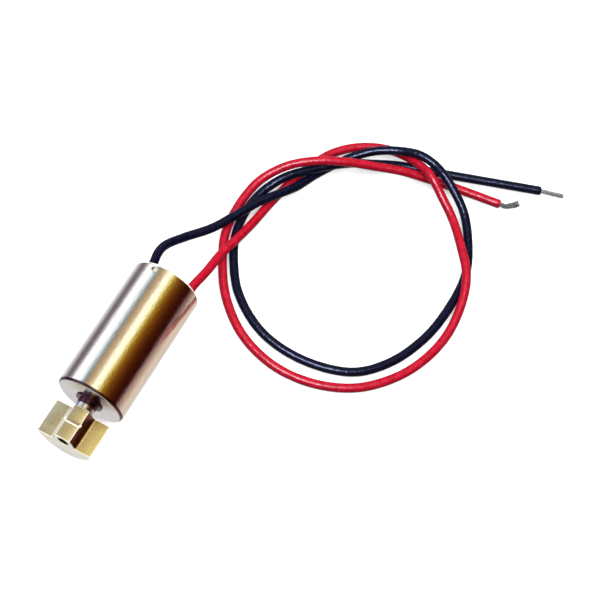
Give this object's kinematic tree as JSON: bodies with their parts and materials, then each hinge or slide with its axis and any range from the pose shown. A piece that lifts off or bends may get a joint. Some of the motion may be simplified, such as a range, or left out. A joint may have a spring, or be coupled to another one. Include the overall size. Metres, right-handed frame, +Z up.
{
  "type": "vibration motor",
  "caption": "Cylindrical coreless vibration motor: plain metal can, eccentric half-moon weight on its shaft, and a red and a black lead with tinned ends.",
  "frame": {"origin": "on the surface the can lies on, under the middle of the motor, halfway between the weight's front face and the end cap's rear face", "axes": "+Z up, +Y along the shaft from the weight to the leads, +X to the right as seen from the front looking along +Y"},
  "size_m": [0.0278, 0.0427, 0.006],
  "materials": {
    "nickel": "bright nickel plate with faint drawing lines",
    "sintered_bronze": "dark oiled sintered bronze",
    "brass": "plain turned brass",
    "magnet": "nickel-plated sintered magnet",
    "cap_plastic": "natural moulded plastic",
    "contact_gold": "gold-flashed contact metal",
    "solder": "bright solder",
    "steel": "ground steel",
    "tungsten_alloy": "satin sintered tungsten alloy, warm grey",
    "dark_plastic": "black moulded plastic",
    "copper_wire": "enamelled copper winding",
    "red_pvc": "glossy red PVC insulation",
    "black_pvc": "glossy blue-black PVC insulation",
    "tinned_strand": "tinned copper strands"
  },
  "bodies": {
    "stator": {"motor_can": "nickel", "front_bearing": "sintered_bronze", "bearing_tube": "brass", "rear_bearing": "sintered_bronze", "magnet": "magnet", "end_cap": "cap_plastic", "terminal_red": "brass", "brush_red": "contact_gold", "solder_joint_red": "solder", "terminal_black": "brass", "brush_black": "contact_gold", "solder_joint_black": "solder", "lead_red": "red_pvc", "lead_black": "black_pvc", "lead_tip_red": "tinned_strand", "lead_tip_black": "tinned_strand"},
    "rotor": {"shaft": "steel", "eccentric_weight": "tungsten_alloy", "front_collar": "steel", "rear_washer": "dark_plastic", "coil": "copper_wire", "coil_plate": "dark_plastic", "commutator_segment_1": "contact_gold", "commutator_segment_2": "contact_gold", "commutator_segment_3": "contact_gold"}
  },
  "joints": [
    {"name": "rotor_spin", "type": "hinge", "parent": "stator", "child": "rotor", "pos_m": [0, 0, 0.003], "axis": [0, -1, 0], "continuous": true}
  ]
}
